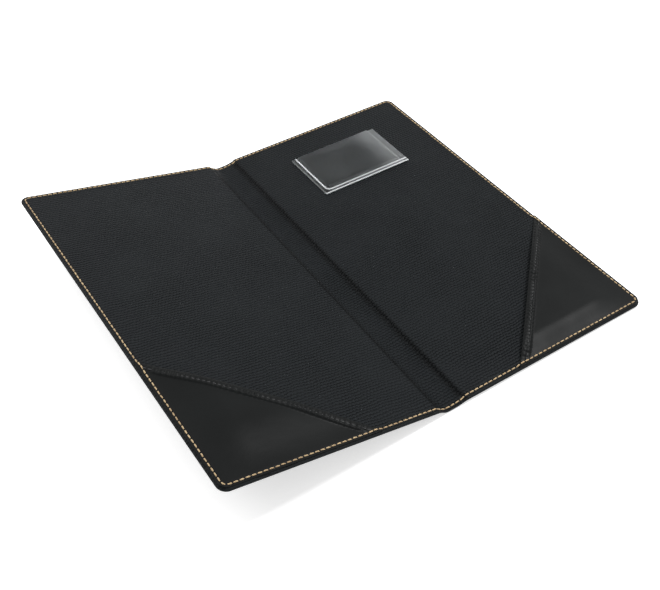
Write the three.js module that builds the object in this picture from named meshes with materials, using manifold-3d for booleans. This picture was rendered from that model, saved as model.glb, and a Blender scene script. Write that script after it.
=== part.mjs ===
// Bill presenter: a soft folding cover in black leatherette, stitched all round in tan thread.
// Millimetres, +Z up. It lies open on a table, with its left cover sprung a little way up.
// +X runs from the left cover to the right cover, +Y from the bottom edge to the top edge.

import * as THREE from 'three';
import { mergeVertices } from 'three/addons/utils/BufferGeometryUtils.js';
import Module from 'manifold-3d';

const wasm = await Module();
wasm.setup();

// Covers
const COVER_WIDTH = 130;        // from the middle of the spine to a fore edge
const COVER_HEIGHT = 235;
const COVER_ANGLE = 13.4;       // degrees that the left cover stands up from the right one
const CORNER_RADIUS = 5;
const EDGE_ROUND = 0.8;         // rounding where the leatherette turns round the edge
const COVER_SHEET = 0.6;
const TURN_IN_WIDTH = 10;       // leatherette turned in over the board
const TURN_IN = 0.3;            // its pared thickness
const BOARD = 1.2;
const BOARD_SETBACK = 2.4;      // from the crease to the board
const LINING = 0.45;
const LINING_MARGIN = 0.8;      // edge of the cover that the lining leaves bare
const GLUE_LINE = 0.05;

// Spine, soft and without a board
const SPINE_WIDTH = 14;         // from crease to crease
const SPINE_DROP = 0.8;         // how far the spine sags below the right cover
const SPINE_FLAT_LEFT = 2.2;    // stretch of the spine that lies on the table, each way from its middle
const SPINE_FLAT_RIGHT = 2.4;
const FOLD_GAP = 0.3;           // between the pieces that meet at a crease

// Corner pockets
const POCKET_LEG = 87;          // along the two sewn edges, from the cover's corner
const POCKET_SHEET = 0.6;
const POCKET_LIFT = 2.4;        // how far the opening stands off the lining
const POCKET_SEWN = 4.5;        // flat strip along the sewn edges
const POCKET_RISE = 30;         // run over which the pocket lifts
const HEM_WIDTH = 3.5;
const HEM_ROUND = 0.35;

// Clear card pocket, welded along its two sides and its bottom
const CARD_POCKET_WIDTH = 62;
const CARD_POCKET_HEIGHT = 40;
const CARD_POCKET_FROM_SPINE = 38;
const CARD_POCKET_FROM_TOP = 23.5;
const CARD_POCKET_RADIUS = 1.5;
const CARD_FILM = 0.25;
const CARD_WELD = 3.5;
const CARD_ROOM = 0.9;          // height that the front film keeps for a card
const CARD_SHOULDER = 1.4;      // run over which the front film rises

// Perimeter seam
const SEAM_INSET = 2.2;
const SEAM_SINK = 0.2;          // how far the thread pulls the lining down
const SEAM_RAMP = 1.8;          // run over which the seam climbs on to a pocket
const STITCH_PITCH = 3;
const THREAD_WIDTH = 0.7;
const THREAD_HEIGHT = 0.5;
const THREAD_UNDER = 0.36;      // height of the flatter thread on the outside
const THREAD_NECK = 0.4;        // share of the section left where the thread dives into a hole
const THREAD_CLEARANCE = 0.06;
const SEAM_CHANNEL = THREAD_WIDTH + 0.4;
const CHANNEL_OPEN = 4;         // how far above its bed the channel is cut clear

// Sizes that follow
const reach = COVER_WIDTH - SPINE_WIDTH / 2;
const rimTop = COVER_SHEET + GLUE_LINE + BOARD;
const foldHeight = COVER_SHEET + GLUE_LINE + LINING;
const liningTop = rimTop + GLUE_LINE + LINING;
const liningStart = FOLD_GAP / 2 + LINING / 2;
const liningShoulder = BOARD_SETBACK - GLUE_LINE - LINING / 2;
const pastCrease = -4 * SPINE_WIDTH;
const coverAngle = THREE.MathUtils.degToRad(COVER_ANGLE);

// Solids

function geometryOf(positions, triangles) {
  const geometry = new THREE.BufferGeometry();
  geometry.setAttribute('position', new THREE.Float32BufferAttribute(positions, 3));
  geometry.setIndex(Array.from(triangles));
  return geometry;
}

function signedVolume(geometry) {
  const point = geometry.attributes.position;
  const [a, b, c] = [new THREE.Vector3(), new THREE.Vector3(), new THREE.Vector3()];
  let volume = 0;
  for (let i = 0; i < geometry.index.count; i += 3) {
    a.fromBufferAttribute(point, geometry.index.getX(i));
    b.fromBufferAttribute(point, geometry.index.getX(i + 1));
    c.fromBufferAttribute(point, geometry.index.getX(i + 2));
    volume += a.dot(b.cross(c)) / 6;
  }
  return volume;
}

// Turns the faces of a closed mesh outwards
function facingOut(geometry) {
  if (signedVolume(geometry) < 0) {
    geometry.setIndex(Array.from(geometry.index.array).reverse());
  }
  return geometry;
}

function solid(geometry) {
  const bare = geometry.clone();
  bare.deleteAttribute('normal');
  bare.deleteAttribute('uv');
  const merged = facingOut(mergeVertices(bare, 1e-4));
  return new wasm.Manifold(new wasm.Mesh({
    numProp: 3,
    vertProperties: new Float32Array(merged.attributes.position.array),
    triVerts: new Uint32Array(merged.index.array),
  }));
}

function geometryFrom(manifold) {
  const mesh = manifold.getMesh();
  return geometryOf(mesh.vertProperties, mesh.triVerts);
}

function mirrored(geometry) {
  return facingOut(geometry.clone().applyMatrix4(new THREE.Matrix4().makeScale(-1, 1, 1)));
}

// Outline of a cover, inset from its edges and running on past the crease
function coverOutline(inset) {
  const radius = Math.max(CORNER_RADIUS - inset, 0.6);
  const right = reach - inset;
  const top = COVER_HEIGHT / 2 - inset;
  const outline = new THREE.Shape();
  outline.moveTo(pastCrease, -top);
  outline.lineTo(right - radius, -top);
  outline.absarc(right - radius, -top + radius, radius, -Math.PI / 2, 0, false);
  outline.lineTo(right, top - radius);
  outline.absarc(right - radius, top - radius, radius, 0, Math.PI / 2, false);
  outline.lineTo(pastCrease, top);
  outline.closePath();
  return outline;
}

// An upright slab with this outline, its edges rounded if asked
function slab(outline, low, high, round = 0) {
  const geometry = new THREE.ExtrudeGeometry(outline, {
    depth: high - low - 2 * round,
    bevelEnabled: round > 0,
    bevelThickness: round,
    bevelSize: round,
    bevelOffset: -round,
    bevelSegments: 3,
    curveSegments: 5,
  });
  geometry.translate(0, 0, low + round);
  return solid(geometry);
}

// A profile in X and Z, drawn out along Y
function alongY(points, length) {
  const profile = new THREE.Shape(points.map(([x, z]) => new THREE.Vector2(x, z)));
  const geometry = new THREE.ExtrudeGeometry(profile, { depth: length, bevelEnabled: false });
  geometry.rotateX(Math.PI / 2);
  geometry.translate(0, length / 2, 0);
  return solid(geometry);
}

// Everything on the spine's side of a line
function spineSide(x) {
  const width = x - pastCrease + 1;
  const geometry = new THREE.BoxGeometry(width, 2 * COVER_HEIGHT, 2 * COVER_HEIGHT);
  geometry.translate(x - width / 2, 0, 0);
  return solid(geometry);
}

// A closed sheet over a grid; place(u, v) gives each crossing's x, y, low and high
function gridSheet(us, vs, place) {
  const positions = [];
  const triangles = [];
  const across = vs.length;
  const lift = us.length * across;
  for (const level of ['low', 'high']) {
    for (const u of us) {
      for (const v of vs) {
        const spot = place(u, v);
        positions.push(spot.x, spot.y, spot[level]);
      }
    }
  }
  const quad = (a, b, c, d) => triangles.push(a, b, c, a, c, d);
  for (let i = 0; i + 1 < us.length; i++) {
    for (let j = 0; j + 1 < across; j++) {
      const [a, b, c, d] = [i * across + j, (i + 1) * across + j, (i + 1) * across + j + 1, i * across + j + 1];
      quad(lift + a, lift + b, lift + c, lift + d);
      quad(d, c, b, a);
    }
  }
  const side = (a, b) => quad(a, b, lift + b, lift + a);
  for (let i = 0; i + 1 < us.length; i++) {
    side(i * across, (i + 1) * across);
    side((i + 1) * across + across - 1, i * across + across - 1);
  }
  for (let j = 0; j + 1 < across; j++) {
    side(j + 1, j);
    side((us.length - 1) * across + j, (us.length - 1) * across + j + 1);
  }
  return geometryOf(positions, triangles);
}

// A closed strand through stations that each have a place, two directions and a section's points
function strand(stations) {
  const positions = [];
  const triangles = [];
  const sides = stations[0].section.length;
  for (const { at, aside, up, section } of stations) {
    for (const [s, u] of section) {
      positions.push(...at.clone().addScaledVector(aside, s).addScaledVector(up, u).toArray());
    }
  }
  for (let i = 0; i + 1 < stations.length; i++) {
    for (let k = 0; k < sides; k++) {
      const next = (k + 1) % sides;
      const [a, b] = [i * sides + k, i * sides + next];
      triangles.push(a, b, b + sides, a, b + sides, a + sides);
    }
  }
  const last = (stations.length - 1) * sides;
  for (let k = 1; k + 1 < sides; k++) {
    triangles.push(0, k + 1, k, last, last + k, last + k + 1);
  }
  return facingOut(geometryOf(positions, triangles));
}

const range = (count) => Array.from({ length: count }, (_, i) => i);
const spread = (from, to, steps) => range(steps + 1).map((i) => from + ((to - from) * i) / steps);

// Covers, boards and linings, with X from the crease and Z from the underside

const creaseCut = spineSide(FOLD_GAP / 2);

// Room above the outer sheet where it has no board: the turned rim steps down with the lining
function creaseRoom() {
  const profile = [
    [pastCrease, COVER_SHEET],
    [liningStart + LINING / 2, COVER_SHEET],
    [liningShoulder + LINING / 2, rimTop],
    [liningShoulder + LINING / 2, 2 * rimTop],
    [pastCrease, 2 * rimTop],
  ];
  return alongY(profile, 2 * COVER_HEIGHT);
}

function coverSheet() {
  const whole = slab(coverOutline(0), 0, rimTop, EDGE_ROUND);
  const boardRoom = slab(coverOutline(COVER_SHEET), COVER_SHEET, rimTop - TURN_IN);
  const opening = slab(coverOutline(COVER_SHEET + TURN_IN_WIDTH), COVER_SHEET, 2 * rimTop);
  const cuts = [boardRoom, opening, creaseRoom(), creaseCut, seamChannel(underSeam())];
  return cuts.reduce((rest, cut) => rest.subtract(cut), whole);
}

// The board is pressed down where the leatherette turns in over it
function board() {
  const low = COVER_SHEET + GLUE_LINE;
  const rim = slab(coverOutline(low), low, rimTop - TURN_IN - GLUE_LINE);
  const middle = slab(coverOutline(low + TURN_IN_WIDTH), low, rimTop);
  return rim.add(middle).subtract(spineSide(BOARD_SETBACK));
}

// Height of the lining's upper face: it steps down off the board at the crease
function liningHeight(x) {
  const share = (x - liningStart) / (liningShoulder - liningStart);
  return foldHeight + (liningTop - foldHeight) * THREE.MathUtils.clamp(share, 0, 1);
}

function lining() {
  const edge = reach + CORNER_RADIUS;
  const profile = [
    [pastCrease, foldHeight - LINING],
    [liningStart + LINING / 2, foldHeight - LINING],
    [liningShoulder + LINING / 2, liningTop - LINING],
    [edge, liningTop - LINING],
    [edge, liningTop],
    [liningShoulder, liningTop],
    [liningStart, foldHeight],
    [pastCrease, foldHeight],
  ];
  const trimmed = alongY(profile, 2 * COVER_HEIGHT).intersect(slab(coverOutline(LINING_MARGIN), 0, 2 * liningTop));
  return trimmed.subtract(creaseCut).subtract(seamChannel(upperSeam()));
}

// Corner pocket

const pocketBase = liningTop + GLUE_LINE;

function pocketLift(fromEdge, fromBottom) {
  const rise = (distance) => THREE.MathUtils.smoothstep(distance, POCKET_SEWN, POCKET_SEWN + POCKET_RISE);
  return POCKET_LIFT * rise(fromEdge) * rise(fromBottom);
}

// The grid runs inwards from the opening edge, then along it
function pocketSpot(inward, along) {
  const half = POCKET_LEG / 2;
  const fromEdge = half - (inward + along) / Math.SQRT2;
  const fromBottom = half - (inward - along) / Math.SQRT2;
  const base = pocketBase + pocketLift(fromEdge, fromBottom);
  const turned = inward < HEM_WIDTH + HEM_ROUND / 2 ? 2 : 1;
  const fold = inward < HEM_ROUND / 2 ? HEM_ROUND : 0;
  return {
    x: reach - fromEdge,
    y: fromBottom - COVER_HEIGHT / 2,
    low: base + fold,
    high: base + turned * POCKET_SHEET - fold,
  };
}

function cornerPocket() {
  const depth = POCKET_LEG / Math.SQRT2;
  const hem = [0, HEM_ROUND, HEM_WIDTH, HEM_WIDTH + HEM_ROUND];
  const face = spread(0, 1, 7).slice(1).map((t) => HEM_WIDTH + (depth - HEM_WIDTH) * t ** 1.2);
  const flap = solid(gridSheet([...hem, ...face], spread(-depth, depth, 18), pocketSpot));
  const outline = slab(coverOutline(LINING_MARGIN), 0, COVER_WIDTH);
  return flap.intersect(outline).subtract(seamChannel(upperSeam()));
}

// Clear card pocket on the right cover

const cardLeft = CARD_POCKET_FROM_SPINE - SPINE_WIDTH / 2;
const cardTop = COVER_HEIGHT / 2 - CARD_POCKET_FROM_TOP;
const cardBase = liningTop + GLUE_LINE;

function cardOutline() {
  const [left, right] = [cardLeft, cardLeft + CARD_POCKET_WIDTH];
  const [bottom, radius] = [cardTop - CARD_POCKET_HEIGHT, CARD_POCKET_RADIUS];
  const outline = new THREE.Shape();
  outline.moveTo(left, cardTop);
  outline.lineTo(left, bottom + radius);
  outline.absarc(left + radius, bottom + radius, radius, Math.PI, Math.PI * 1.5, false);
  outline.lineTo(right - radius, bottom);
  outline.absarc(right - radius, bottom + radius, radius, -Math.PI / 2, 0, false);
  outline.lineTo(right, cardTop);
  outline.closePath();
  return outline;
}

function cardPocketBack() {
  return slab(cardOutline(), cardBase, cardBase + CARD_FILM);
}

function cardPocketFront() {
  const base = cardBase + CARD_FILM + GLUE_LINE;
  const bottom = cardTop - CARD_POCKET_HEIGHT;
  const shoulder = (distance) => THREE.MathUtils.clamp((distance - CARD_WELD) / CARD_SHOULDER, 0, 1);
  const across = [0, CARD_WELD, CARD_WELD + CARD_SHOULDER];
  const us = [...across, ...across.map((u) => CARD_POCKET_WIDTH - u).reverse()];
  const vs = [...across, CARD_POCKET_HEIGHT];
  const film = gridSheet(us, vs, (u, v) => {
    const low = base + CARD_ROOM * Math.min(shoulder(u), shoulder(CARD_POCKET_WIDTH - u), shoulder(v));
    return { x: cardLeft + u, y: bottom + v, low, high: low + CARD_FILM };
  });
  return solid(film).intersect(slab(cardOutline(), 0, COVER_WIDTH));
}

// Perimeter seam of a cover, from the crease round the fore edge and back to the crease

const seamRadius = CORNER_RADIUS - SEAM_INSET;
const seamLine = COVER_HEIGHT / 2 - SEAM_INSET;
const seamRight = reach - SEAM_INSET;
const seamStart = FOLD_GAP / 2;

function seamPath() {
  const path = new THREE.Path();
  path.moveTo(seamStart, seamLine);
  path.lineTo(seamRight - seamRadius, seamLine);
  path.absarc(seamRight - seamRadius, seamLine - seamRadius, seamRadius, Math.PI / 2, 0, true);
  path.lineTo(seamRight, -seamLine + seamRadius);
  path.absarc(seamRight - seamRadius, -seamLine + seamRadius, seamRadius, 0, -Math.PI / 2, true);
  path.lineTo(seamStart, -seamLine);
  return path;
}

const pocketClear = HEM_ROUND;

// Height of the seam's bed: sunk in the bare lining, and up on the pocket where there is one
function seamBed(x, y) {
  const beyond = (reach - x + y + COVER_HEIGHT / 2 - POCKET_LEG) / Math.SQRT2;
  const bare = liningHeight(x) - SEAM_SINK;
  const onPocket = pocketBase + POCKET_SHEET / 2;
  const share = THREE.MathUtils.clamp((beyond - pocketClear) / SEAM_RAMP, 0, 1);
  return THREE.MathUtils.lerp(onPocket, bare, share);
}

// Distances along the seam where its bed bends
function seamBends() {
  const line = seamRight - seamRadius - seamStart;
  const arc = (seamRadius * Math.PI) / 2;
  const side = 2 * (seamLine - seamRadius);
  const total = 2 * (line + arc) + side;
  const corner = range(5).map((i) => line + (arc * i) / 4);
  const step = [liningStart, liningShoulder].map((x) => x - seamStart);
  const fromCorner = [0, SEAM_RAMP].map((d) => POCKET_LEG + (pocketClear + d) * Math.SQRT2 - CORNER_RADIUS - SEAM_INSET);
  return {
    total,
    bends: [
      0, ...step, ...corner,
      ...fromCorner.map((d) => line + arc + side - d),
      ...fromCorner.map((d) => total - line + d),
      ...corner.map((d) => total - d), ...step.map((d) => total - d), total,
    ],
  };
}

// Share of the full thread at a distance along the seam, from a hole to the middle of a stitch
function threadSwell(distance, pitch) {
  const phase = distance / pitch - Math.floor(distance / pitch);
  return THREAD_NECK + (1 - THREAD_NECK) * (1 - Math.abs(2 * phase - 1));
}

function stitchStations(total, bends) {
  const stitches = Math.round(total / STITCH_PITCH);
  const marks = [...bends, ...spread(0, total, 2 * stitches)].sort((a, b) => a - b);
  const kept = marks.filter((mark, i) => i === 0 || mark - marks[i - 1] > 0.02);
  return { pitch: total / stitches, distances: kept };
}

function coverStations(bedAt, up) {
  const path = seamPath();
  const { total, bends } = seamBends();
  const station = (distance) => {
    const share = THREE.MathUtils.clamp(distance / total, 0, 1);
    const point = path.getPoint(share);
    const along = path.getTangent(share);
    return {
      distance,
      at: new THREE.Vector3(point.x, point.y, bedAt(point.x, point.y)),
      aside: new THREE.Vector3(-along.y, along.x, 0),
      up,
    };
  };
  return { total, bends, station };
}

const upperSeam = () => coverStations(seamBed, new THREE.Vector3(0, 0, 1));
const underSeam = () => coverStations(() => THREAD_UNDER + 2 * THREAD_CLEARANCE, new THREE.Vector3(0, 0, -1));

// The channel that the seam presses into what it passes over
function seamChannel({ bends, station }) {
  const half = SEAM_CHANNEL / 2;
  const section = [[-half, 0], [half, 0], [half, CHANNEL_OPEN], [-half, CHANNEL_OPEN]];
  const stations = [...bends].sort((a, b) => a - b).map((distance) => ({ ...station(distance), section }));
  return solid(strand(stations));
}

function seamThread({ total, bends, station }, height) {
  const { pitch, distances } = stitchStations(total, bends);
  return strand(distances.map((distance) => {
    const swell = threadSwell(distance, pitch);
    const half = (swell * THREAD_WIDTH) / 2;
    const low = THREAD_CLEARANCE;
    return { ...station(distance), section: [[-half, low], [half, low], [0, low + swell * height]] };
  }));
}

// How the covers lie: the right one on its fore edge and the spine's flat, the left one raised

const restTilt = Math.asin(SPINE_DROP / (reach - EDGE_ROUND));
const spineAngle = restTilt + coverAngle / 2;
const leftAngle = restTilt + coverAngle;

// A point given by X and Z, turned as rotation.y turns it
function turned(x, z, angle) {
  return new THREE.Vector2(x * Math.cos(angle) + z * Math.sin(angle), z * Math.cos(angle) - x * Math.sin(angle));
}

const rightCrease = new THREE.Vector2(SPINE_WIDTH / 2, SPINE_DROP + foldHeight * Math.cos(restTilt));
const leftCrease = rightCrease.clone().add(turned(-SPINE_WIDTH, 0, spineAngle));

// Spine, its section drawn as it lies on the table

const spineRightEnd = rightCrease.clone().add(turned(-FOLD_GAP / 2, -foldHeight, spineAngle));
const spineLeftEnd = leftCrease.clone().add(turned(FOLD_GAP / 2, -foldHeight, spineAngle));
const spineSteps = 6;

function shoulder(end, flat) {
  const middle = new THREE.Vector2((end.x + flat) / 2, 0);
  return new THREE.QuadraticBezierCurve(end, middle, new THREE.Vector2(flat, 0));
}

const rightShoulder = shoulder(spineRightEnd, SPINE_FLAT_RIGHT);
const leftShoulder = shoulder(spineLeftEnd, -SPINE_FLAT_LEFT);

// The spine's underside from left to right, each point with the direction to its inside
const spineLine = [
  ...spread(0, 1, spineSteps).map((t) => [leftShoulder.getPoint(t), leftShoulder.getTangent(t)]),
  ...spread(1, 0, spineSteps).map((t) => [rightShoulder.getPoint(t), rightShoulder.getTangent(t).negate()]),
].map(([point, along]) => ({ point, inside: new THREE.Vector2(-along.y, along.x) }));

const spineAt = (depth) => spineLine.map(({ point, inside }) => point.clone().addScaledVector(inside, depth));

function spineLayer(from, to, length) {
  const outline = [...spineAt(from), ...spineAt(to).reverse()];
  return alongY(outline.map((point) => [point.x, point.y]), length);
}

// Stations of the short seam across one end of the spine, on its inside or its outside
function spineStations(depth, outward, y) {
  const bed = spineAt(depth);
  const lengths = [0];
  bed.slice(1).forEach((point, i) => lengths.push(lengths[i] + point.distanceTo(bed[i])));
  const total = lengths[lengths.length - 1];
  const station = (distance) => {
    const next = Math.max(1, lengths.findIndex((length) => length >= distance - 1e-9));
    const share = (distance - lengths[next - 1]) / (lengths[next] - lengths[next - 1]);
    const point = bed[next - 1].clone().lerp(bed[next], share);
    const inside = spineLine[next - 1].inside.clone().lerp(spineLine[next].inside, share).normalize();
    return {
      distance,
      at: new THREE.Vector3(point.x, y, point.y),
      aside: new THREE.Vector3(0, 1, 0),
      up: new THREE.Vector3(inside.x, 0, inside.y).multiplyScalar(outward),
    };
  };
  return { total, bends: lengths, station };
}

const innerSpineSeam = (y) => spineStations(foldHeight - SEAM_SINK, 1, y);
const outerSpineSeam = (y) => spineStations(THREAD_UNDER + 2 * THREAD_CLEARANCE, -1, y);

function spineCover() {
  const sheet = spineLayer(0, COVER_SHEET, COVER_HEIGHT);
  return [seamLine, -seamLine].reduce((rest, y) => rest.subtract(seamChannel(outerSpineSeam(y))), sheet);
}

function spineLining() {
  const sheet = spineLayer(COVER_SHEET + GLUE_LINE, foldHeight, COVER_HEIGHT - 2 * LINING_MARGIN);
  return [seamLine, -seamLine].reduce((rest, y) => rest.subtract(seamChannel(innerSpineSeam(y))), sheet);
}

// Finishes

function finish(color, roughness, extra = {}) {
  return new THREE.MeshStandardMaterial({ color, roughness, metalness: 0, flatShading: true, ...extra });
}

const leatherette = finish(0x2b2f30, 0.6);
const liningLeatherette = finish(0x34393b, 0.6);
const pocketLeatherette = finish(0x232727, 0.45);
const greyBoard = finish(0x8a857b, 0.95);
const clearFilm = finish(0xe8eef0, 0.1, { transparent: true, opacity: 0.35 });
const tanThread = finish(0xb08a5c, 0.7);

// Assembly

const presenter = new THREE.Group();

function group(crease, angle) {
  const pivot = new THREE.Group();
  pivot.position.set(crease.x, 0, crease.y);
  pivot.rotation.y = angle;
  presenter.add(pivot);
  return pivot;
}

function place(parent, name, geometry, material, lower = 0) {
  const mesh = new THREE.Mesh(geometry, material.clone());
  mesh.name = name;
  mesh.position.z = -lower;
  parent.add(mesh);
}

const rightPivot = group(rightCrease, restTilt);
const leftPivot = group(leftCrease, leftAngle);

const coverPieces = [
  ['cover_sheet', geometryFrom(coverSheet()), leatherette],
  ['board', geometryFrom(board()), greyBoard],
  ['lining', geometryFrom(lining()), liningLeatherette],
  ['corner_pocket', geometryFrom(cornerPocket()), pocketLeatherette],
  ['inner_stitching', seamThread(upperSeam(), THREAD_HEIGHT), tanThread],
  ['outer_stitching', seamThread(underSeam(), THREAD_UNDER), tanThread],
];

for (const [name, geometry, material] of coverPieces) {
  place(rightPivot, `right_${name}`, geometry, material, foldHeight);
  place(leftPivot, `left_${name}`, mirrored(geometry), material, foldHeight);
}
place(rightPivot, 'card_pocket_back', geometryFrom(cardPocketBack()), clearFilm, foldHeight);
place(rightPivot, 'card_pocket_front', geometryFrom(cardPocketFront()), clearFilm, foldHeight);

place(presenter, 'spine_cover_sheet', geometryFrom(spineCover()), leatherette);
place(presenter, 'spine_lining', geometryFrom(spineLining()), liningLeatherette);
for (const [end, y] of [['head', seamLine], ['tail', -seamLine]]) {
  place(presenter, `spine_inner_stitching_${end}`, seamThread(innerSpineSeam(y), THREAD_HEIGHT), tanThread);
  place(presenter, `spine_outer_stitching_${end}`, seamThread(outerSpineSeam(y), THREAD_UNDER), tanThread);
}

// The origin is under the middle of the open presenter, on the table
const extent = new THREE.Box3().setFromObject(presenter, true);
presenter.position.x = -(extent.min.x + extent.max.x) / 2;

export default presenter;
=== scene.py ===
# %% [markdown]
# # An open cheque presenter
# The real thing is a folding cover of black leatherette, glued round two grey boards, lined with a
# scale-grained sheet and sewn all round in tan thread. Its left cover is sprung a little way up.
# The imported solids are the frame: every piece here is laid where they are, in metres.

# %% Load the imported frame
import math
import bpy
import numpy as np
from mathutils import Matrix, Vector


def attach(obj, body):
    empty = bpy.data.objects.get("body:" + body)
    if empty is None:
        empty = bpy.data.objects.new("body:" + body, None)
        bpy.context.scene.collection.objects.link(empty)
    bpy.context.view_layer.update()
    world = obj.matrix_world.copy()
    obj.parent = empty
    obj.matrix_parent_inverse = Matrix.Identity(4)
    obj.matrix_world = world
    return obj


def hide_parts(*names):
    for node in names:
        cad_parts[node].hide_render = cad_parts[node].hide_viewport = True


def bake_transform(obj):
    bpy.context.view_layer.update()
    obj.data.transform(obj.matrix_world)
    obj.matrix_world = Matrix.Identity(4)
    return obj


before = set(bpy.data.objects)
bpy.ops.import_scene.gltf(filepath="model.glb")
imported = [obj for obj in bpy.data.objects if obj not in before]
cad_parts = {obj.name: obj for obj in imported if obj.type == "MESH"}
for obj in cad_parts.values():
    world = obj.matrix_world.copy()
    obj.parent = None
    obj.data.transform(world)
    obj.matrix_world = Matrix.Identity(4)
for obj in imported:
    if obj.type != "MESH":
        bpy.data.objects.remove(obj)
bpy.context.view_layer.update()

print("frame nodes:", len(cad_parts))

# %% [markdown]
# Every sheet is modelled flat, as it was cut: s runs across from the middle of the spine, y runs
# along it and h is the height over the table side, all in millimetres. Laying it down afterwards
# along the bent section keeps the grain and the seam unstretched, as they are on the real cover.
# The section runs from the flat of the spine up a soft curve to each crease, and on along a cover.

# %% The bent section of each half
HALF_HEIGHT = 117.5
FORE_EDGE = 130.0
CREASE = 7.0
CORNER = 5.0
SKIN = 0.6
BOARD_RUN = 1.25
RIM_TOP = 1.85
LINING_TOP = 2.35
SIDES = {"right": 1, "left": -1}


def half_section(side, flat_end, crease, angle):
    middle = np.array([-1.685, 0.0])
    flat = np.array([flat_end, 0.0])
    crease = np.array(crease)
    control = np.array([(flat_end + crease[0]) / 2, 0.0])
    t = np.linspace(0, 1, 60)[:, None]
    curve = (1 - t) ** 2 * flat + 2 * t * (1 - t) * control + t ** 2 * crease
    cover = crease + 140 * np.array([side * math.cos(angle), math.sin(angle)])
    points = np.vstack([middle, curve, cover])
    run = np.concatenate([[0], np.cumsum(np.linalg.norm(np.diff(points, axis=0), axis=1))])
    to_crease = run[-2]
    s_of_run = np.where(run <= to_crease, run * CREASE / to_crease, CREASE + run - to_crease)
    s = np.arange(0, 138, 0.05)
    line = np.stack([np.interp(s, s_of_run, points[:, k]) for k in (0, 1)], axis=1)
    window = np.ones(37) / 37
    for _ in range(2):
        padded = np.pad(line, ((18, 18), (0, 0)), mode="reflect", reflect_type="odd")
        line = np.stack([np.convolve(padded[:, k], window, "valid") for k in (0, 1)], axis=1)
    along = np.gradient(line, axis=0)
    along /= np.linalg.norm(along, axis=1)[:, None]
    normal = side * np.stack([-along[:, 1], along[:, 0]], axis=1)
    return {"s": s, "line": line, "normal": normal}


SECTIONS = {
    "right": half_section(1, 0.615, (5.2078, 0.8), math.radians(-0.3751)),
    "left": half_section(-1, -3.985, (-8.9403, 2.556), math.radians(13.7751)),
}
for half, section in SECTIONS.items():
    print(half, "crease at", round(float(np.interp(CREASE, section["s"], section["line"][:, 0])), 2))

# %% Lay flat points along the section
def smooth(value, low, high):
    share = np.clip((value - low) / (high - low), 0, 1)
    return share * share * (3 - 2 * share)


def lay(points, half):
    """Flat points (s, y, h) in mm become points in the row frame, in metres."""
    section = SECTIONS[half]
    s, y, h = points.T
    board = smooth(s, CREASE + 0.3, CREASE + 2.4)
    middle = SKIN + (h - SKIN) * board
    height = np.where(h <= SKIN, h, np.where(h < RIM_TOP, middle, h - BOARD_RUN * (1 - board)))
    place = [np.interp(s, section["s"], section["line"][:, k]) for k in (0, 1)]
    normal = [np.interp(s, section["s"], section["normal"][:, k]) for k in (0, 1)]
    x = place[0] + normal[0] * height
    z = place[1] + normal[1] * height
    return np.stack([x, y, z], axis=1) / 1000


print("fore edge:", np.round(lay(np.array([[130.0, 0, 0]]), "right"), 4))

# %% [markdown]
# The sheets start as grid primitives. A sheet needs close rows where it turns a corner or takes a
# seam and wide ones where it is flat, so the grid's rows are moved to chosen stations, and Solidify
# gives the skin its real thickness before the sheet is laid down.

# %% Helpers that make, thicken and lay a sheet
def only(obj):
    bpy.ops.object.select_all(action="DESELECT")
    obj.select_set(True)
    bpy.context.view_layer.objects.active = obj


def get_points(obj):
    flat = np.empty(3 * len(obj.data.vertices))
    obj.data.vertices.foreach_get("co", flat)
    return flat.reshape(-1, 3)


def set_points(obj, points):
    obj.data.vertices.foreach_set("co", np.ascontiguousarray(points).ravel())
    obj.data.update()


def grid_sheet(name, across, along, place):
    bpy.ops.object.select_all(action="DESELECT")
    bpy.ops.mesh.primitive_grid_add(x_subdivisions=len(across) - 1, y_subdivisions=len(along) - 1, size=2)
    sheet = bpy.context.object
    sheet.name = name
    points = get_points(sheet)
    i = np.rint((points[:, 0] + 1) / 2 * (len(across) - 1)).astype(int)
    j = np.rint((points[:, 1] + 1) / 2 * (len(along) - 1)).astype(int)
    set_points(sheet, place(np.asarray(across)[i], np.asarray(along)[j]))
    return sheet


def thicken(sheet, thickness):
    only(sheet)
    wall = sheet.modifiers.new("Skin", "SOLIDIFY")
    wall.thickness = thickness
    wall.offset = 0
    wall.use_even_offset = False
    bpy.ops.object.modifier_apply(modifier=wall.name)


def lay_down(piece, half, angle=40):
    """Write the flat place as a UV map in metres, then bend the piece on to the section."""
    points = get_points(piece)
    side = SIDES[half]
    corners = np.empty(len(piece.data.loops), int)
    piece.data.loops.foreach_get("vertex_index", corners)
    layer = piece.data.uv_layers.get("flat") or piece.data.uv_layers.new(name="flat")
    flat = np.stack([side * points[corners, 0], points[corners, 1]], axis=1) / 1000
    layer.data.foreach_set("uv", flat.ravel())
    piece.data.uv_layers.active = layer
    set_points(piece, lay(points, half))
    only(piece)
    if side < 0:
        bpy.ops.object.mode_set(mode="EDIT")
        bpy.ops.mesh.select_all(action="SELECT")
        bpy.ops.mesh.flip_normals()
        bpy.ops.object.mode_set(mode="OBJECT")
    bpy.ops.object.shade_smooth_by_angle(angle=math.radians(angle))
    print(piece.name, len(piece.data.polygons), "faces")
    return piece


def face_outwards(piece):
    only(piece)
    bpy.ops.object.mode_set(mode="EDIT")
    bpy.ops.mesh.select_all(action="SELECT")
    bpy.ops.mesh.normals_make_consistent(inside=False)
    bpy.ops.object.mode_set(mode="OBJECT")


def cross_crease(piece):
    """Bake the piece's transform into its mesh."""
    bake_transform(piece)


# %% [markdown]
# Materials come next. Leatherette is vinyl cast on cloth and pressed with a steel roller, so its
# grain is in the surface, not in the colour. One helper turns a hex colour to linear and one adds a
# node with its settings and links.

# %% Helpers for materials
def colour(hex_code):
    parts = [int(hex_code[k:k + 2], 16) / 255 for k in (1, 3, 5)]
    linear = [c / 12.92 if c <= 0.04045 else ((c + 0.055) / 1.055) ** 2.4 for c in parts]
    return (*linear, 1)


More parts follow.
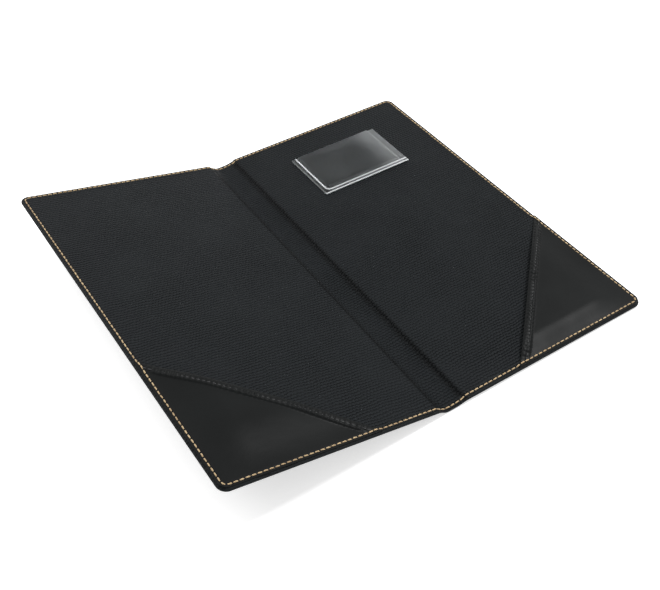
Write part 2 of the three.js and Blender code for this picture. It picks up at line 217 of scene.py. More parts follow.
def add(tree, kind, links=None, values=None, **settings):
    node = tree.nodes.new(kind)
    for key, value in settings.items():
        setattr(node, key, value)
    for key, value in (values or {}).items():
        node.inputs[key].default_value = value
    for key, socket in (links or {}).items():
        tree.links.new(socket, node.inputs[key])
    return node


def new_material(name):
    material = bpy.data.materials.new(name)
    material.use_nodes = True
    tree = material.node_tree
    tree.nodes.clear()
    shader = add(tree, "ShaderNodeBsdfPrincipled")
    add(tree, "ShaderNodeOutputMaterial", {"Surface": shader.outputs[0]})
    return material, tree, shader


def dress(piece, material):
    piece.data.materials.clear()
    piece.data.materials.append(material)


# %% [markdown]
# The scale grain: rows of soft scales 1.75 mm apart run across the cover, each row shifted half a
# scale and a little wavy, with the pits where scales meet painted nearly black: painted shade.
# Cosines of the flat UV map make the rows, so the grain runs unbroken over the creases, as on the
# real sheet, and noise bends them. Little gloss is left between scales, so the gloss is set low.
# At the creases the colour is darkened in a band along each fold: painted shade in the fold.

# %% Scale-grained leatherette
SCALE_ACROSS = 1.9
SCALE_ROW = 1.75
SCALE_DRIFT = (0.0030, 0.0024, 0)
FOLD_LINE = 0.0078


def wave(tree, value):
    """A smooth wave, one for each unit of value, from 0 between scales to 1 on them."""
    turn = add(tree, "ShaderNodeMath", {0: value}, {1: 2 * math.pi}, operation="MULTIPLY").outputs[0]
    cosine = add(tree, "ShaderNodeMath", {0: turn}, operation="COSINE").outputs[0]
    return add(tree, "ShaderNodeMapRange", {0: cosine}, {1: -1, 2: 1, 3: 0, 4: 1}).outputs[0]


def scale_leatherette(name, base, pit_shade, depth, gloss, crease_shade_tone):
    material, tree, shader = new_material(name)
    flat = add(tree, "ShaderNodeUVMap", uv_map="flat").outputs[0]
    drift = add(tree, "ShaderNodeTexNoise", {"Vector": flat}, {"Scale": 150, "Detail": 2}).outputs["Color"]
    centred = add(tree, "ShaderNodeVectorMath", {0: drift}, {1: (0.5, 0.5, 0.5)}, operation="SUBTRACT")
    shift = add(tree, "ShaderNodeVectorMath", {0: centred.outputs[0]}, {1: SCALE_DRIFT},
                operation="MULTIPLY").outputs[0]
    wavy = add(tree, "ShaderNodeVectorMath", {0: flat, 1: shift}, operation="ADD").outputs[0]
    per_metre = (1000 / SCALE_ACROSS, 1000 / SCALE_ROW, 1)
    scaled = add(tree, "ShaderNodeVectorMath", {0: wavy}, {1: per_metre}, operation="MULTIPLY").outputs[0]
    split = add(tree, "ShaderNodeSeparateXYZ", {0: scaled})
    half_row = add(tree, "ShaderNodeMath", {0: split.outputs[1]}, {1: 0.5}, operation="ADD").outputs[0]
    row = add(tree, "ShaderNodeMath", {0: half_row}, operation="FLOOR").outputs[0]
    slip = add(tree, "ShaderNodeMath", {0: row}, {1: 0.47}, operation="MULTIPLY").outputs[0]
    column = add(tree, "ShaderNodeMath", {0: split.outputs[0], 1: slip}, operation="ADD").outputs[0]
    on_row = wave(tree, split.outputs[1])
    on_scale = wave(tree, column)
    between = add(tree, "ShaderNodeMath", {1: on_row}, {0: 1}, operation="SUBTRACT").outputs[0]
    neck = add(tree, "ShaderNodeMapRange", {0: on_scale}, {1: 0, 2: 1, 3: 1.05, 4: 0.22}).outputs[0]
    hollow = add(tree, "ShaderNodeMath", {0: between, 1: neck}, operation="MULTIPLY").outputs[0]
    dome = add(tree, "ShaderNodeMapRange", {0: hollow}, {1: 0.15, 2: 0.85, 3: 1, 4: 0}).outputs[0]
    fine = add(tree, "ShaderNodeTexNoise", {"Vector": flat}, {"Scale": 2600, "Detail": 3}).outputs[0]
    worn = add(tree, "ShaderNodeTexNoise", {"Vector": flat}, {"Scale": 26, "Detail": 3}).outputs[0]
    spread = add(tree, "ShaderNodeMapRange", {0: worn}, {1: 0.3, 2: 0.7, 3: 0.5, 4: 1.0}).outputs[0]
    grain = add(tree, "ShaderNodeMath", {0: dome, 1: spread}, operation="MULTIPLY").outputs[0]
    flat_spread = add(tree, "ShaderNodeMath", {1: spread}, {0: 1}, operation="SUBTRACT").outputs[0]
    lit = add(tree, "ShaderNodeMath", {0: grain, 1: flat_spread}, operation="ADD").outputs[0]
    # The pits between scales take the near-black pit colour: painted shade.
    tone = add(tree, "ShaderNodeMix", {0: lit}, {6: colour(pit_shade), 7: colour(base)},
               data_type="RGBA").outputs[2]
    # A band along each crease is darkened: painted shade in the fold.
    across = add(tree, "ShaderNodeSeparateXYZ", {0: flat}).outputs[0]
    from_middle = add(tree, "ShaderNodeMath", {0: across}, operation="ABSOLUTE").outputs[0]
    away = add(tree, "ShaderNodeMath", {0: from_middle}, {1: FOLD_LINE}, operation="SUBTRACT").outputs[0]
    apart = add(tree, "ShaderNodeMath", {0: away}, operation="ABSOLUTE").outputs[0]
    crease_shade = add(tree, "ShaderNodeMapRange", {0: apart}, {1: 0.0002, 2: 0.0030, 3: crease_shade_tone, 4: 1.0},
                  interpolation_type="SMOOTHSTEP").outputs[0]
    crease_shaded = add(tree, "ShaderNodeVectorMath", {0: tone, 1: crease_shade}, operation="MULTIPLY").outputs[0]
    tree.links.new(crease_shaded, shader.inputs["Base Color"])
    rough = add(tree, "ShaderNodeMapRange", {0: fine}, {1: 0.3, 2: 0.7, 3: gloss - 0.07, 4: gloss + 0.07})
    tree.links.new(rough.outputs[0], shader.inputs["Roughness"])
    broad = add(tree, "ShaderNodeBump", {"Height": grain}, {"Strength": 1, "Distance": depth / 1000})
    close = add(tree, "ShaderNodeBump", {"Height": fine, "Normal": broad.outputs[0]},
                {"Strength": 0.4, "Distance": 0.00004})
    tree.links.new(close.outputs[0], shader.inputs["Normal"])
    shader.inputs["IOR"].default_value = 1.5
    shader.inputs["Specular IOR Level"].default_value = 0.07
    return material


lining_leatherette = scale_leatherette(
    "pressed_scale_leatherette_lining", "#181b1d", "#010102", depth=0.55, gloss=0.45, crease_shade_tone=0.38)
cover_leatherette = scale_leatherette(
    "pressed_scale_leatherette_cover", "#1c1f20", "#030304", depth=0.25, gloss=0.45, crease_shade_tone=0.8)
print("materials:", lining_leatherette.name, cover_leatherette.name)

# %% [markdown]
# The corner pockets are a smoother leatherette: a satin skin with a grain too fine to see as scales,
# which catches a broad soft sheen where it bulges.

# %% Satin leatherette of the pockets
pocket_leatherette, tree, shader = new_material("satin_leatherette_pocket")
flat = add(tree, "ShaderNodeUVMap", uv_map="flat").outputs[0]
pebble = add(tree, "ShaderNodeTexVoronoi", {"Vector": flat}, {"Scale": 1500},
             feature="F1").outputs["Distance"]
cloud = add(tree, "ShaderNodeTexNoise", {"Vector": flat}, {"Scale": 34, "Detail": 4}).outputs[0]
tone = add(tree, "ShaderNodeMix", {0: cloud}, {6: colour("#0b0c0c"), 7: colour("#131515")},
           data_type="RGBA")
tree.links.new(tone.outputs[2], shader.inputs["Base Color"])
rough = add(tree, "ShaderNodeMapRange", {0: cloud}, {1: 0.3, 2: 0.7, 3: 0.36, 4: 0.48})
tree.links.new(rough.outputs[0], shader.inputs["Roughness"])
skin = add(tree, "ShaderNodeBump", {"Height": pebble}, {"Strength": 0.5, "Distance": 0.00005})
creased = add(tree, "ShaderNodeBump", {"Height": cloud, "Normal": skin.outputs[0]},
              {"Strength": 0.5, "Distance": 0.0009})
tree.links.new(creased.outputs[0], shader.inputs["Normal"])
shader.inputs["IOR"].default_value = 1.5
shader.inputs["Specular IOR Level"].default_value = 0.075
print("material:", pocket_leatherette.name)

# %% [markdown]
# Sewing thread is three plies twisted together. The crest of each ply is painted light and the
# groove between plies dark, in slanting lines along each stitch: painted highlight and painted
# shade. The tan is also a little uneven from stitch to stitch.

# %% Twisted thread, tan and black
PLY_TWIST = 0.55


def sewing_thread(name, light, dark):
    material, tree, shader = new_material(name)
    lie = add(tree, "ShaderNodeUVMap", uv_map="stitch").outputs[0]
    split = add(tree, "ShaderNodeSeparateXYZ", {0: lie})
    slanted = add(tree, "ShaderNodeMath", {0: split.outputs[0], 1: split.outputs[1]}, operation="ADD")
    turn = add(tree, "ShaderNodeMath", {0: slanted.outputs[0]}, {1: 2 * math.pi / PLY_TWIST},
               operation="MULTIPLY").outputs[0]
    ply = add(tree, "ShaderNodeMath", {0: turn}, operation="SINE").outputs[0]
    # Ply crests take the light colour and grooves the dark one: painted highlight and painted shade, mixed
    # with uneven tone.
    share = add(tree, "ShaderNodeMapRange", {0: ply}, {1: -1, 2: 1, 3: 0, 4: 1}).outputs[0]
    place = add(tree, "ShaderNodeTexCoord").outputs["Object"]
    uneven = add(tree, "ShaderNodeTexNoise", {"Vector": place}, {"Scale": 130, "Detail": 2}).outputs[0]
    both = add(tree, "ShaderNodeMath", {0: share, 1: uneven}, operation="MULTIPLY").outputs[0]
    crest_highlight_and_tone = add(tree, "ShaderNodeMapRange", {0: both}, {1: 0.0, 2: 0.6, 3: 0, 4: 1}).outputs[0]
    tone = add(tree, "ShaderNodeMix", {0: crest_highlight_and_tone}, {6: colour(dark), 7: colour(light)}, data_type="RGBA")
    tree.links.new(tone.outputs[2], shader.inputs["Base Color"])
    bump = add(tree, "ShaderNodeBump", {"Height": ply}, {"Strength": 0.6, "Distance": 0.00008})
    tree.links.new(bump.outputs[0], shader.inputs["Normal"])
    shader.inputs["Roughness"].default_value = 0.55
    shader.inputs["Sheen Weight"].default_value = 0.2
    shader.inputs["Sheen Roughness"].default_value = 0.4
    return material


tan_thread = sewing_thread("twisted_tan_polyester_thread", "#ecd3a4", "#7d5c38")
black_thread = sewing_thread("twisted_black_polyester_thread", "#26282a", "#0a0b0c")
print("threads:", tan_thread.name, black_thread.name)

# %% [markdown]
# The outer cover is one skin, 0.6 mm thick, that runs round the boards' edges and is turned in under
# the lining. Its rows beyond the edge follow that turn, and at a corner they fan round a 5 mm radius.
# The seam pulls a shallow valley into the outside.

# %% Seam layout on the flat cover
SEAM_RADIUS = CORNER - 2.2
CORE_S = FORE_EDGE - CORNER
CORE_Y = HALF_HEIGHT - CORNER
SEAM_ARC = SEAM_RADIUS * math.pi / 2
SEAM_LENGTH = 2 * CORE_S + 2 * SEAM_ARC + 2 * CORE_Y
STITCHES = round(SEAM_LENGTH / 3)
PITCH = SEAM_LENGTH / STITCHES
print("stitches on a half:", STITCHES, "pitch", round(PITCH, 3))


def around(a, b):
    """Stretched grid place (a, b) to its outward direction, distance past the core and seam distance."""
    out_s = np.clip(a - CORE_S, 0, None)
    out_y = np.clip(np.abs(b) - CORE_Y, 0, None)
    past = np.maximum(out_s, out_y)
    low = np.minimum(out_s, out_y) / np.maximum(past, 1e-9) * math.pi / 4
    turn = np.where(out_s >= out_y, math.pi / 2 - low, low)
    up = np.sign(b)
    core = np.stack([np.clip(a, None, CORE_S), np.clip(b, -CORE_Y, CORE_Y)], axis=1)
    way = np.stack([np.sin(turn), up * np.cos(turn)], axis=1)
    from_head = np.where(a < CORE_S, a, CORE_S + SEAM_RADIUS * turn)
    on_side = CORE_S + SEAM_ARC + CORE_Y - b
    head = np.where(b > 0, from_head, SEAM_LENGTH - from_head)
    seam = np.where(np.abs(b) > CORE_Y, head, on_side)
    return core, way, past, seam


def seam_pull(past, seam, width):
    """How far the seam draws a sheet in: a valley, deepest where the thread dives into its holes."""
    valley = np.exp(-((past - SEAM_RADIUS) / width) ** 2)
    hole = (0.5 + 0.5 * np.cos(2 * math.pi * seam / PITCH)) ** 2
    return valley * (0.65 + 0.35 * hole)


# %% Outer cover of each half
RIM_ROLL = 2.2
TURN = (RIM_ROLL - SKIN) / 2
TURN_START = CORNER - RIM_ROLL / 2


def cover_place(a, b):
    core, way, past, seam = around(a, b)
    bend = np.clip((past - TURN_START) / TURN, 0, math.pi)
    inward = np.clip(past - TURN_START - math.pi * TURN, 0, None)
    radial = np.minimum(past, TURN_START) + TURN * np.sin(bend) - inward
    height = SKIN / 2 + TURN * (1 - np.cos(bend))
    height = height + 0.34 * seam_pull(past, seam, 0.5) * (past < TURN_START + 0.2)
    flat = core + way * radial[:, None]
    return np.column_stack([flat, height])



# %% Stations of the cover's grid, and both halves
past_core = [0.7, 1.3, 1.8, 2.15, 2.4, 2.6, 2.8, 3.0, 3.2, 3.45, 3.7, TURN_START]
past_core += [TURN_START + TURN * turn for turn in np.linspace(0.3, math.pi, 9)]
past_core += [TURN_START + math.pi * TURN + inward for inward in (0.8, 2, 3.2)]
cover_across = [*np.arange(0, 12, 0.5), *np.linspace(12, CORE_S, 76)]
cover_across += [CORE_S + past for past in past_core]
cover_ends = [CORE_Y + past for past in past_core]
cover_along = [*[-y for y in reversed(cover_ends)], *np.linspace(-CORE_Y, CORE_Y, 151), *cover_ends]
for half in SIDES:
    cover = grid_sheet(f"{half}_outer_cover", cover_across, cover_along, cover_place)
    thicken(cover, SKIN)
    lay_down(cover, half)
    cross_crease(cover)
    dress(cover, cover_leatherette)
    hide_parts(f"{half}_cover_sheet", "spine_cover_sheet")

# %% [markdown]
# The lining is glued over the boards and the turned-in edges, 0.8 mm short of the cover's rim. It
# dips between the boards at the creases, and the seam puckers it. Its cut edge turns down.

# %% Lining of each half
LINING_EDGE = CORNER - 0.8
EDGE_TURN = 0.2
TURN_AT = LINING_EDGE - EDGE_TURN
TURN_RUN = EDGE_TURN * math.pi / 2


def lining_place(a, b):
    core, way, past, seam = around(a, b)
    bend = np.clip((past - TURN_AT) / EDGE_TURN, 0, math.pi / 2)
    down = np.clip(past - TURN_AT - TURN_RUN, 0, None)
    radial = np.minimum(past, TURN_AT) + EDGE_TURN * np.sin(bend)
    height = LINING_TOP - EDGE_TURN * (1 - np.cos(bend)) - down
    flat = core + way * radial[:, None]
    puff = 0.05 * np.sin(flat[:, 0] / 9 + 1) * np.sin(flat[:, 1] / 13) * (flat[:, 0] > 12)
    pulled = 0.3 * seam_pull(past, seam, 0.55)
    beside = 0.07 * np.exp(-((past - SEAM_RADIUS + 1.5) / 0.7) ** 2)
    dip = 0.32 * np.exp(-((flat[:, 0] - CREASE - 0.4) / 1.1) ** 2)
    return np.column_stack([flat, height + puff * (past < 1) - pulled + beside - dip])



# %% Stations of the lining's grid, and both halves
lining_rows = [0.6, 1.1, 1.5, 1.85, 2.1, 2.35, 2.6, 2.8, 3.0, 3.25, 3.5, 3.8, TURN_AT]
lining_rows += [TURN_AT + TURN_RUN * share for share in (0.5, 1)]
lining_rows += [TURN_AT + TURN_RUN + 0.3]
lining_across = [*np.arange(0, 12, 0.4), *np.linspace(12, CORE_S, 150)]
lining_across += [CORE_S + past for past in lining_rows]
lining_ends = [CORE_Y + past for past in lining_rows]
lining_along = [*[-y for y in reversed(lining_ends)], *np.linspace(-CORE_Y, CORE_Y, 301), *lining_ends]
for half in SIDES:
    lining = grid_sheet(f"{half}_lining_sheet", lining_across, lining_along, lining_place)
    lay_down(lining, half, 60)
    cross_crease(lining)
    dress(lining, lining_leatherette)
    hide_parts(f"{half}_lining", "spine_lining")

# %% [markdown]
# A corner pocket is a triangle of satin leatherette, sewn into the seam along both its legs and open
# along its hem. The hem is folded under and stitched in black, which gathers it into small ribs.
# The middle stands off the lining, because the leatherette is stiff and sewn on two sides only.
# The right one rises sharply from its bottom edge, which catches the sheen, and the left one slowly.

# %% Corner pockets
LEG = 87.0
POCKET_BASE = 2.4
HEM = 3.5
HEM_STITCH = 2.7
HEM_PITCH = 2.6
POCKET_SKIN = 0.6
BULGE = 2.4
EDGE_RISE = (3.5, 26)
BOTTOM_RISE = {"right": (1.5, 14), "left": (4.5, 32)}


def pocket_lift(half, from_edge, from_bottom):
    return BULGE * smooth(from_edge, *EDGE_RISE) * smooth(from_bottom, *BOTTOM_RISE[half])


def hem_ribs(along_hem, inward):
    wobble = 0.6 * np.sin(along_hem / 3.1) + 0.5 * np.sin(along_hem / 7.7 + 2)
    rib = 1 - (0.5 - 0.5 * np.sin(2 * math.pi * (along_hem + wobble) / HEM_PITCH)) ** 3
    strength = 0.8 + 0.3 * np.sin(along_hem / 5.3)
    return rib * strength * smooth(inward, 0.1, 1.2) * (1 - smooth(inward, 3.2, 5.5))


def pocket_place(half, rank, w):
    ruled = np.clip(rank, 0, 1)[:, None]
    arc = math.pi / 2 * w
    corner = np.stack([CORNER - LINING_EDGE * np.sin(arc), CORNER - LINING_EDGE * np.cos(arc)], axis=1)
    inward = np.interp(rank, [1, 2], [6, 0.3])
    fold = np.clip((rank - 2) / 0.5, 0, 1) * math.pi
    under = np.clip(rank - 2.5, 0, None) * 6
    line_in = np.where(rank > 2, 0.3 - 0.3 * np.sin(fold) + under, inward)
    leg = LEG - 0.8 - math.sqrt(2) * line_in
    hem = np.stack([leg - (leg - 0.8) * w, 0.8 + (leg - 0.8) * w], axis=1)
    spot = corner * (1 - ruled) + hem * ruled
    from_edge, from_bottom = spot.T
    past = np.where(spot.max(axis=1) < CORNER, np.hypot(CORNER - from_edge, CORNER - from_bottom),
                    CORNER - spot.min(axis=1))
    depth = (LEG - from_edge - from_bottom) / math.sqrt(2)
    two_layers = POCKET_SKIN * (1 - smooth(depth, HEM, HEM + 1.2))
    height = POCKET_BASE + POCKET_SKIN / 2 + pocket_lift(half, from_edge, from_bottom)
    along_hem = (from_bottom - from_edge) / math.sqrt(2)
    free = smooth(spot.min(axis=1), 2.5, 7)
    top = two_layers * (0.2 + 0.8 * free) + 0.45 * free * hem_ribs(along_hem, depth)
    top = top - 0.16 * np.exp(-((depth - HEM_STITCH) / 0.4) ** 2)
    height = height + np.where(rank > 2, top * (0.5 + 0.5 * np.cos(fold)), top)
    seam = np.where(from_bottom < from_edge, from_edge, from_bottom)
    height = height - 0.16 * seam_pull(past, seam, 0.5)
    return np.column_stack([FORE_EDGE - from_edge, from_bottom - HALF_HEIGHT, height])



# %% Stations of a pocket's grid, and both pockets
near_edge = np.linspace(0, 0.06, 16)
w_rows = [*near_edge, *np.linspace(0.06, 0.94, 200)[1:-1], *(1 - near_edge[::-1])]
ranks = [*(np.linspace(0, 1, 46) ** 0.8), *np.linspace(1, 2, 18)[1:]]
ranks += [*np.linspace(2, 2.5, 6)[1:], 2.7, 3.03]
for half in SIDES:
    pocket = grid_sheet(f"{half}_pocket", ranks, w_rows, lambda rank, w: pocket_place(half, rank, w))
    thicken(pocket, POCKET_SKIN)
    face_outwards(pocket)
    lay_down(pocket, half, 50)
    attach(pocket, f"{half}_cover")
    dress(pocket, pocket_leatherette)
    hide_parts(f"{half}_corner_pocket")

# %% [markdown]
# The stitches are real pieces: each is a short plump length of thread that dives into a hole at both
# ends. One is modelled, an Array repeats it into a straight row, and the row is then led round the
# seam's path, up on to the pockets and over the spine's ends.

# %% One stitch, repeated into a row
rng = np.random.default_rng(7)


def stitch_row(name, count, pitch, length, width, height):
    bpy.ops.object.select_all(action="DESELECT")
    bpy.ops.mesh.primitive_uv_sphere_add(
        segments=10, ring_count=8, radius=0.5, rotation=(0, math.pi / 2, 0))
    row = bpy.context.object
    row.name = name
    bpy.ops.object.transform_apply(rotation=True)
    points = get_points(row)
    lie = points[:, 0] * 2
    full = np.sqrt(np.clip(1 - lie ** 2, 0.0001, None))
    plump = np.clip(1 - np.abs(lie) ** 4, 0, 1) ** 0.5 * 0.75 + 0.25
    shaped = np.empty_like(points)
    shaped[:, 0] = lie * length / 2
    shaped[:, 1] = points[:, 1] / full * width * np.minimum(plump, full * 1.6)
    shaped[:, 2] = points[:, 2] / full * height * np.minimum(plump, full * 1.6) - 0.55 * height * lie ** 4
    corners = np.empty(len(row.data.loops), int)
    row.data.loops.foreach_get("vertex_index", corners)
    ring = np.arctan2(points[:, 2], points[:, 1])
    layer = row.data.uv_layers.new(name="stitch")
    thread_uv = np.stack([shaped[corners, 0], 0.17 * ring[corners]], axis=1)
    layer.data.foreach_set("uv", thread_uv.ravel())
    set_points(row, shaped)
    only(row)
    repeat = row.modifiers.new("Repeat", "ARRAY")
    repeat.count = count
    repeat.use_relative_offset = False
    repeat.use_constant_offset = True
    repeat.constant_offset_displace = (pitch, 0, 0)
    bpy.ops.object.modifier_apply(modifier=repeat.name)
    points = get_points(row)
    points[:, 0] += pitch / 2
    which = np.clip(np.floor(points[:, 0] / pitch), 0, count - 1).astype(int)
    slant = rng.normal(0.05, 0.025, count)[which]
    middle = (which + 0.5) * pitch
    points[:, 1] += (points[:, 0] - middle) * slant + rng.normal(0, 0.03, count)[which]
    points[:, 2] += rng.normal(0, 0.015, count)[which]
    set_points(row, points)
    return row


# %% The seam's path and its bed
def seam_spot(distance):
    """Where a distance along the seam lies on the flat half, and which way outward is."""
    d = np.minimum(distance, SEAM_LENGTH - distance)
    turn = np.clip((d - CORE_S) / SEAM_RADIUS, 0, math.pi / 2)
    up = np.where(distance < SEAM_LENGTH / 2, 1, -1)
    s = np.minimum(d, CORE_S) + SEAM_RADIUS * np.sin(turn)
    y = CORE_Y + SEAM_RADIUS * np.cos(turn) - np.clip(d - CORE_S - SEAM_ARC, 0, None)
    return np.stack([s, up * y], axis=1), np.stack([np.sin(turn), up * np.cos(turn)], axis=1)


def seam_rise(spot):
    """Height of the bed under the inside stitches: the lining, or a pocket's leg."""
    beyond = (FORE_EDGE - spot[:, 0] + spot[:, 1] + HALF_HEIGHT - LEG) / math.sqrt(2)
    return 2.15 + 0.62 * (1 - smooth(beyond, 0.2, 2.0)) + 0.5 * np.exp(-((beyond + 1.9) / 1.6) ** 2)


# %% Both threads of each half
INSIDE_STITCH = (2.45, 0.78, 0.52)
OUTSIDE_STITCH = (2.5, 0.7, 0.36)
for half in SIDES:
    for face in ("inner", "outer"):
        inner = face == "inner"
        size = INSIDE_STITCH if inner else OUTSIDE_STITCH
        row = stitch_row(f"{half}_{face}_stitches", STITCHES, PITCH, *size)
        points = get_points(row)
        spot, outward = seam_spot(points[:, 0])
        height = seam_rise(spot) + 0.2 + points[:, 2] if inner else 0.17 - points[:, 2]
        flat = spot + outward * points[:, 1][:, None]
        set_points(row, np.column_stack([flat, height]))
        face_outwards(row)
        lay_down(row, half, 80)
        cross_crease(row)
        dress(row, tan_thread)
        ends = [f"spine_{face}_stitching_{end}" for end in ("head", "tail")]
        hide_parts(f"{half}_{face}_stitching", *ends)

# %% [markdown]
# The hems are sewn in black thread, which shows only as small glints between the ribs. The same
# stitch is repeated along each hem, on top of the folded edge.

# %% Black stitches of the hems
HEM_COUNT = 43
for half in SIDES:
    row = stitch_row(f"{half}_hem_stitches", HEM_COUNT, HEM_PITCH, 2.0, 0.5, 0.36)
    points = get_points(row)
    reach_along = points[:, 0] - HEM_COUNT * HEM_PITCH / 2
    depth = HEM_STITCH + points[:, 1]
    half_line = (LEG - depth * math.sqrt(2)) / 2
    from_edge = half_line - reach_along / math.sqrt(2)
    from_bottom = half_line + reach_along / math.sqrt(2)
    height = POCKET_BASE + 1.2 + pocket_lift(half, from_edge, from_bottom) + points[:, 2]
    set_points(row, np.column_stack([FORE_EDGE - from_edge, from_bottom - HALF_HEIGHT, height]))
    face_outwards(row)
    lay_down(row, half, 80)
    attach(row, f"{half}_cover")
    dress(row, black_thread)

# %% [markdown]
# The card pocket is two sheets of clear soft vinyl, welded along both sides and the bottom by a
# heated bar. The weld is pressed thin between two fine ridges, which catch the light as a bright
# double line, and the front sheet stands a little off the back one. Its index of refraction is
# set well below that of real vinyl, because four faces one behind the other would mirror the
# white room and hide the lining. That bright double line is a painted highlight: along the weld
# ridges, the left edge and a hazy strip to the right, less light passes and the white base shows.

# %% Clear vinyl
clear_vinyl, tree, shader = new_material("clear_soft_vinyl")
flat = add(tree, "ShaderNodeUVMap", uv_map="flat").outputs[0]
ripple = add(tree, "ShaderNodeTexNoise", {"Vector": flat}, {"Scale": 60, "Detail": 2}).outputs[0]
bump = add(tree, "ShaderNodeBump", {"Height": ripple}, {"Strength": 0.2, "Distance": 0.0012})
tree.links.new(bump.outputs[0], shader.inputs["Normal"])
# Where the film carries a painted highlight, less light passes and the white base shows.
weld_highlight = add(tree, "ShaderNodeAttribute", attribute_name="weld_highlight").outputs["Fac"]
see_through = add(tree, "ShaderNodeMapRange", {0: weld_highlight}, {1: 0, 2: 1, 3: 1, 4: 0.3}).outputs[0]
tree.links.new(see_through, shader.inputs["Transmission Weight"])
shader.inputs["Base Color"].default_value = colour("#eef1f2")
haze = add(tree, "ShaderNodeMapRange", {0: ripple}, {1: 0.3, 2: 0.7, 3: 0.32, 4: 0.4})
tree.links.new(haze.outputs[0], shader.inputs["Roughness"])
shader.inputs["IOR"].default_value = 1.15
print("material:", clear_vinyl.name)

# %% Card pocket films
CARD_LEFT = 38.0
CARD_WIDTH = 62.0
CARD_HEIGHT = 40.0
CARD_FROM_HEAD = 23.5
CARD_BOTTOM = HALF_HEIGHT - CARD_FROM_HEAD - CARD_HEIGHT
WELD = 3.5
RIDGE_WIDTH = 0.36
FILM = 0.25
BACK_BED = 2.4
FRONT_BED = 2.7
CARD_CORNER = 1.5


def ridge(distance, at, width):
    return np.exp(-((distance - at) / width) ** 2)


def weld_lines(u, v):
    """The outer ridge along the bottom, and the inner one that turns up along the spine side."""
    du = u - WELD + 0.6
    dv = v - WELD + 0.6
    corner = 3.0
    turned = corner - np.hypot(np.clip(corner - du, 0, None), np.clip(corner - dv, 0, None))
    inner = np.where((du < corner) & (dv < corner), turned, np.minimum(du, dv))
    return np.maximum(ridge(v, 0.5, RIDGE_WIDTH), ridge(inner, 0, RIDGE_WIDTH) * (du > -1))


def film_place(front):
    def place(u, v):
        side = np.minimum(u, CARD_WIDTH - u)
        shoulder = np.minimum(smooth(side, WELD, WELD + 2.2), smooth(v, WELD, WELD + 2.2))
        height = np.full_like(u, BACK_BED + FILM / 2)
        if front:
            sag = 0.12 * np.sin(u / 9) * np.sin(v / 7 + 1)
            height = FRONT_BED + FILM / 2 + (0.85 + sag) * shoulder
            height = height + 0.15 * weld_lines(u, v)
        round_in = np.clip(CARD_CORNER - u, 0, None)
        trim = CARD_CORNER - np.sqrt(np.clip(CARD_CORNER ** 2 - round_in ** 2, 0, None))
        y = CARD_BOTTOM + np.maximum(v, trim * (v < CARD_CORNER))
        return np.column_stack([CARD_LEFT + u, y, height])
    return place



# %% Back and front film
weld_rows = [0, 0.25, 0.5, 0.75, 1.1, 1.6, 2.1, 2.4, 2.65, 2.9, 3.15, 3.4, 3.8, 4.3, 4.8, 5.3, 5.8]
film_us = [*weld_rows, *np.linspace(7, CARD_WIDTH - 7, 40)]
film_us += [CARD_WIDTH - u for u in reversed(weld_rows)]
film_vs = [*weld_rows, *np.linspace(7, CARD_HEIGHT, 30)]
for name, front in (("card_pocket_back_film", False), ("card_pocket_front_film", True)):
    film = grid_sheet(name, film_us, film_vs, film_place(front))
    flat_points = get_points(film)
    in_u = flat_points[:, 0] - CARD_LEFT
    in_v = flat_points[:, 1] - CARD_BOTTOM
    # A painted highlight on the front film: the weld ridges, a hazy strip towards the right and the left
    # edge.
    painted_highlight = 0.9 * weld_lines(in_u, in_v) + 0.10 * smooth(in_u, 40, 58) + 0.12 * ridge(in_u, 0.3, 0.4)
    mark = film.data.attributes.new("weld_highlight", "FLOAT", "POINT")
    mark.data.foreach_set("value", (painted_highlight * front).astype(np.float32))
    thicken(film, FILM)
    lay_down(film, "right", 50)
    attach(film, "right_cover")
    dress(film, clear_vinyl)
    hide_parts("card_pocket_front" if front else "card_pocket_back")

# %% [markdown]
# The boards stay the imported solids. They are raw grey board, pulp pressed from waste paper, so the
# colour is mottled with darker fibres and the surface is dull.

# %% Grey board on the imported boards
grey_board, tree, shader = new_material("raw_grey_board")
place = add(tree, "ShaderNodeTexCoord").outputs["Object"]
fibre = add(tree, "ShaderNodeTexNoise", {"Vector": place}, {"Scale": 900, "Detail": 5}).outputs[0]
tone = add(tree, "ShaderNodeMix", {0: fibre}, {6: colour("#8f897c"), 7: colour("#b5afa2")},
           data_type="RGBA")
tree.links.new(tone.outputs[2], shader.inputs["Base Color"])
bump = add(tree, "ShaderNodeBump", {"Height": fibre}, {"Strength": 0.4, "Distance": 0.0001})
tree.links.new(bump.outputs[0], shader.inputs["Normal"])
shader.inputs["Roughness"].default_value = 0.9
for half in SIDES:
    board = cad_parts[f"{half}_board"]
    board.data.materials.clear()
    board.data.materials.append(grey_board)
    print(board.name, "dressed in", grey_board.name)

# %% [markdown]
# The studio is plain: a white floor that keeps the object's shadow, a white world, one broad soft
# lamp behind and to the left, and one to the right that draws the sheen along the pocket's edge.

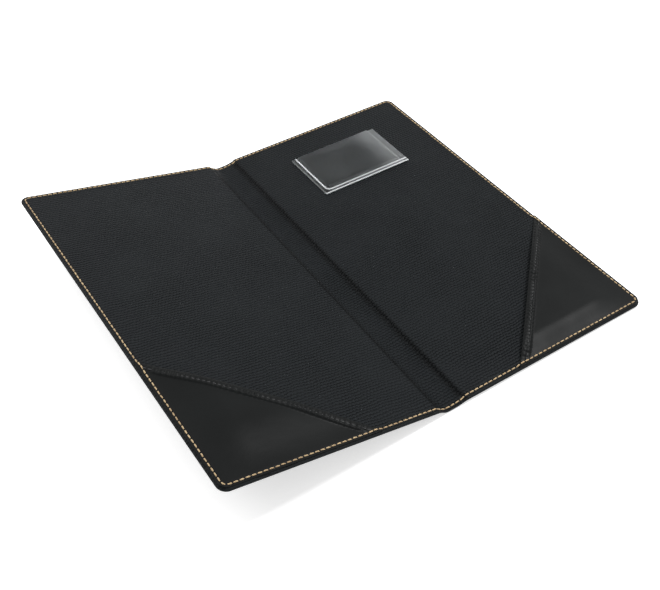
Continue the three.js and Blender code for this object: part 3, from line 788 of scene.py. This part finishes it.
# %% White floor
WHITENING = 0.55
bpy.ops.object.select_all(action="DESELECT")
bpy.ops.mesh.primitive_plane_add(size=6, location=(0, 0, -0.0002))
floor = bpy.context.object
floor.name = "studio_floor"
paper, tree, shader = new_material("white_studio_paper")
shader.inputs["Base Color"].default_value = colour("#f2f2f2")
shader.inputs["Roughness"].default_value = 0.9
ray = add(tree, "ShaderNodeLightPath")
glow = add(tree, "ShaderNodeMath", {0: ray.outputs["Is Camera Ray"]}, {1: WHITENING},
           operation="MULTIPLY").outputs[0]
tree.links.new(glow, shader.inputs["Emission Strength"])
shader.inputs["Emission Color"].default_value = (1, 1, 1, 1)
floor.data.materials.append(paper)

# %% White world
ROOM_LIGHT = 0.55
world = bpy.data.worlds.new("white_room")
bpy.context.scene.world = world
world.use_nodes = True
tree = world.node_tree
tree.nodes.clear()
ray = add(tree, "ShaderNodeLightPath")
seen = ray.outputs["Is Camera Ray"]
for kind in ("Is Glossy Ray", "Is Transmission Ray"):
    seen = add(tree, "ShaderNodeMath", {0: seen, 1: ray.outputs[kind]}, operation="MAXIMUM").outputs[0]
strength = add(tree, "ShaderNodeMapRange", {0: seen}, {1: 0, 2: 1, 3: ROOM_LIGHT, 4: 1.0}).outputs[0]
sky = add(tree, "ShaderNodeBackground", {"Strength": strength}, {"Color": (1, 1, 1, 1)})
add(tree, "ShaderNodeOutputWorld", {"Surface": sky.outputs[0]})
print("studio:", floor.name, world.name)

# %% Lamps and camera
def soft_lamp(name, place, target, size, power):
    aim = (Vector(target) - Vector(place)).to_track_quat("-Z", "Y").to_euler()
    bpy.ops.object.select_all(action="DESELECT")
    bpy.ops.object.light_add(type="AREA", location=place, rotation=aim)
    lamp = bpy.context.object
    lamp.name = name
    lamp.data.shape = "RECTANGLE"
    lamp.data.size, lamp.data.size_y = size
    lamp.data.energy = power
    return lamp


soft_lamp("back_lamp", (-0.45, 0.85, 0.85), (0, 0, 0), (0.9, 0.6), 7)
soft_lamp("sheen_lamp", (0.66, -0.03, 1.03), (0.07, -0.11, 0), (0.3, 0.16), 11)
bpy.ops.object.camera_add(
    location=(-0.21406, -0.34179, 0.38477),
    rotation=[math.radians(a) for a in (45.028, 0.897, -33.303)],
)
camera = bpy.context.object
camera.data.sensor_width = 36
camera.data.lens = 53.977
bpy.context.scene.camera = camera
bpy.context.scene.view_settings.view_transform = "Standard"
print("lens:", round(camera.data.lens, 1), "mm")
